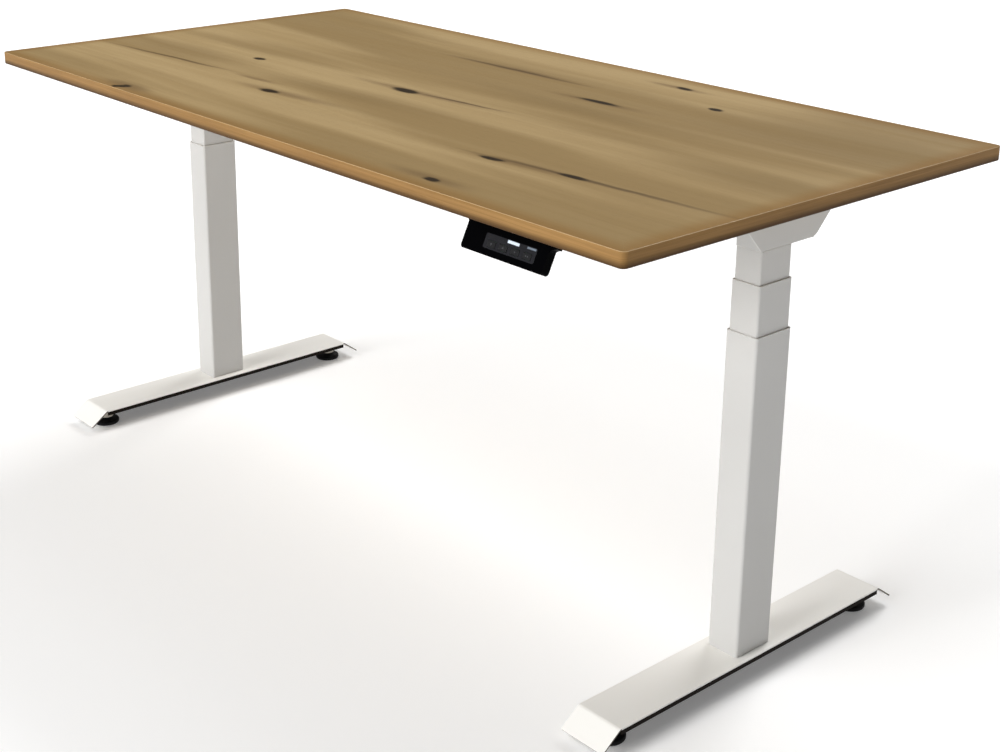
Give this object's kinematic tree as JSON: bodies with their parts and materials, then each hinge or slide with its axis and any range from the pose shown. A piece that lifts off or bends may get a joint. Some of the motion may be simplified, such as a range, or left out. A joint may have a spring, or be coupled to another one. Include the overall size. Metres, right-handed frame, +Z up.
{
  "type": "height adjustable standing desk",
  "caption": "Rectangular oak desktop on telescoping white columns with sloped feet, levelling pads, lead screw drives and an under edge handset.",
  "frame": {"origin": "on the floor under the middle of the desktop, which is the centre of the box at its bottom", "axes": "+X along the desktop towards the end with the handset, -Y towards the user, +Z up"},
  "size_m": [1.6, 0.8, 0.75],
  "materials": {
    "oak_decor": "oak decor, satin",
    "oak_edge": "oak edge band, satin",
    "white_steel": "white powder coat",
    "dark_steel": "black powder coat",
    "zinc_steel": "zinc plated",
    "bare_steel": "drawn steel, greased",
    "cast_housing": "die cast",
    "motor_black": "black lacquer",
    "glide_plastic": "natural nylon",
    "nut_plastic": "natural acetal",
    "pad_plastic": "moulded black plastic",
    "washer_rubber": "matt rubber",
    "handset_black": "gloss black",
    "handset_glass": "smoked window",
    "key_black": "satin black",
    "box_black": "grained black",
    "circuit_green": "solder mask"
  },
  "bodies": {
    "left_foot_column": {"foot_shell_left": "white_steel", "foot_stiffener_left": "dark_steel", "foot_bolts_left": "zinc_steel", "outer_tube_left": "white_steel", "outer_glides_left": "glide_plastic", "support_tube_left": "bare_steel", "base_nut_left": "nut_plastic"},
    "left_middle_stage": {"middle_tube_left": "white_steel", "middle_glides_left": "glide_plastic", "stage_plate_left": "zinc_steel", "push_tube_left": "bare_steel", "stage_nut_left": "nut_plastic"},
    "left_hollow_screw": {"hollow_screw_left": "bare_steel"},
    "desktop_frame": {"inner_tube_left": "white_steel", "inner_glides_left": "glide_plastic", "motor_bracket_left": "white_steel", "gearbox_left": "cast_housing", "gear_motor_left": "motor_black", "side_arm_left": "white_steel", "inner_tube_right": "white_steel", "inner_glides_right": "glide_plastic", "motor_bracket_right": "white_steel", "gearbox_right": "cast_housing", "gear_motor_right": "motor_black", "side_arm_right": "white_steel", "crossbeams": "white_steel", "beam_screws": "zinc_steel", "desktop_board": "oak_decor", "edge_band": "oak_edge", "board_screws": "zinc_steel", "board_washers": "washer_rubber", "handset_case": "handset_black", "handset_window": "handset_glass", "handset_circuit": "circuit_green", "control_case": "box_black", "control_lid": "box_black", "control_circuit": "circuit_green"},
    "left_lead_screw": {"lead_screw_left": "bare_steel"},
    "right_lead_screw": {"lead_screw_right": "bare_steel"},
    "right_middle_stage": {"middle_tube_right": "white_steel", "middle_glides_right": "glide_plastic", "stage_plate_right": "zinc_steel", "push_tube_right": "bare_steel", "stage_nut_right": "nut_plastic"},
    "right_hollow_screw": {"hollow_screw_right": "bare_steel"},
    "right_foot_column": {"foot_shell_right": "white_steel", "foot_stiffener_right": "dark_steel", "foot_bolts_right": "zinc_steel", "outer_tube_right": "white_steel", "outer_glides_right": "glide_plastic", "support_tube_right": "bare_steel", "base_nut_right": "nut_plastic"},
    "leveller_front_left": {"leveller_front_left": "pad_plastic"},
    "leveller_rear_left": {"leveller_rear_left": "pad_plastic"},
    "leveller_front_right": {"leveller_front_right": "pad_plastic"},
    "leveller_rear_right": {"leveller_rear_right": "pad_plastic"},
    "key_down": {"key_down": "key_black"},
    "key_up": {"key_up": "key_black"},
    "key_memory_one": {"key_memory_one": "key_black"},
    "key_memory_two": {"key_memory_two": "key_black"}
  },
  "joints": [
    {"name": "left_lower_lift", "type": "slide", "parent": "left_foot_column", "child": "left_middle_stage", "axis": [0, 0, 1], "range_m": [-0.045, 0.275]},
    {"name": "left_upper_lift", "type": "slide", "parent": "left_middle_stage", "child": "desktop_frame", "axis": [0, 0, 1], "range_m": [-0.045, 0.275]},
    {"name": "right_upper_lift", "type": "slide", "parent": "desktop_frame", "child": "right_middle_stage", "axis": [0, 0, -1], "range_m": [-0.045, 0.275]},
    {"name": "right_lower_lift", "type": "slide", "parent": "right_middle_stage", "child": "right_foot_column", "axis": [0, 0, -1], "range_m": [-0.045, 0.275]},
    {"name": "left_hollow_turn", "type": "hinge", "parent": "left_middle_stage", "child": "left_hollow_screw", "pos_m": [-0.7, -0.014, 0.3], "axis": [0, 0, 1], "range_deg": [-2030, 12380]},
    {"name": "left_lead_turn", "type": "hinge", "parent": "desktop_frame", "child": "left_lead_screw", "pos_m": [-0.7, -0.014, 0.45], "axis": [0, 0, 1], "range_deg": [-2030, 12380]},
    {"name": "right_lead_turn", "type": "hinge", "parent": "desktop_frame", "child": "right_lead_screw", "pos_m": [0.7, -0.014, 0.45], "axis": [0, 0, 1], "range_deg": [-2030, 12380]},
    {"name": "right_hollow_turn", "type": "hinge", "parent": "right_middle_stage", "child": "right_hollow_screw", "pos_m": [0.7, -0.014, 0.3], "axis": [0, 0, 1], "range_deg": [-2030, 12380]},
    {"name": "leveller_front_left_screw_out", "type": "slide", "parent": "left_foot_column", "child": "leveller_front_left", "axis": [0, 0, -1], "range_m": [0, 0.01]},
    {"name": "leveller_rear_left_screw_out", "type": "slide", "parent": "left_foot_column", "child": "leveller_rear_left", "axis": [0, 0, -1], "range_m": [0, 0.01]},
    {"name": "leveller_front_right_screw_out", "type": "slide", "parent": "right_foot_column", "child": "leveller_front_right", "axis": [0, 0, -1], "range_m": [0, 0.01]},
    {"name": "leveller_rear_right_screw_out", "type": "slide", "parent": "right_foot_column", "child": "leveller_rear_right", "axis": [0, 0, -1], "range_m": [0, 0.01]},
    {"name": "key_down_press", "type": "slide", "parent": "desktop_frame", "child": "key_down", "axis": [0, 0.9026, -0.4305], "range_m": [0, 0.0008], "stiffness_N_per_m": 1200, "springref_m": -0.0003},
    {"name": "key_up_press", "type": "slide", "parent": "desktop_frame", "child": "key_up", "axis": [0, 0.9026, -0.4305], "range_m": [0, 0.0008], "stiffness_N_per_m": 1200, "springref_m": -0.0003},
    {"name": "key_memory_one_press", "type": "slide", "parent": "desktop_frame", "child": "key_memory_one", "axis": [0, 0.9026, -0.4305], "range_m": [0, 0.0008], "stiffness_N_per_m": 1200, "springref_m": -0.0003},
    {"name": "key_memory_two_press", "type": "slide", "parent": "desktop_frame", "child": "key_memory_two", "axis": [0, 0.9026, -0.4305], "range_m": [0, 0.0008], "stiffness_N_per_m": 1200, "springref_m": -0.0003}
  ],
  "couplings": [
    {"joint": "left_upper_lift", "follows": "left_lower_lift", "ratio": 1},
    {"joint": "right_upper_lift", "follows": "left_lower_lift", "ratio": 1},
    {"joint": "right_lower_lift", "follows": "left_lower_lift", "ratio": 1},
    {"joint": "left_hollow_turn", "follows": "left_lower_lift", "rad_per_m": 785.4},
    {"joint": "left_lead_turn", "follows": "left_lower_lift", "rad_per_m": 785.4},
    {"joint": "right_lead_turn", "follows": "left_lower_lift", "rad_per_m": 785.4},
    {"joint": "right_hollow_turn", "follows": "left_lower_lift", "rad_per_m": 785.4}
  ]
}
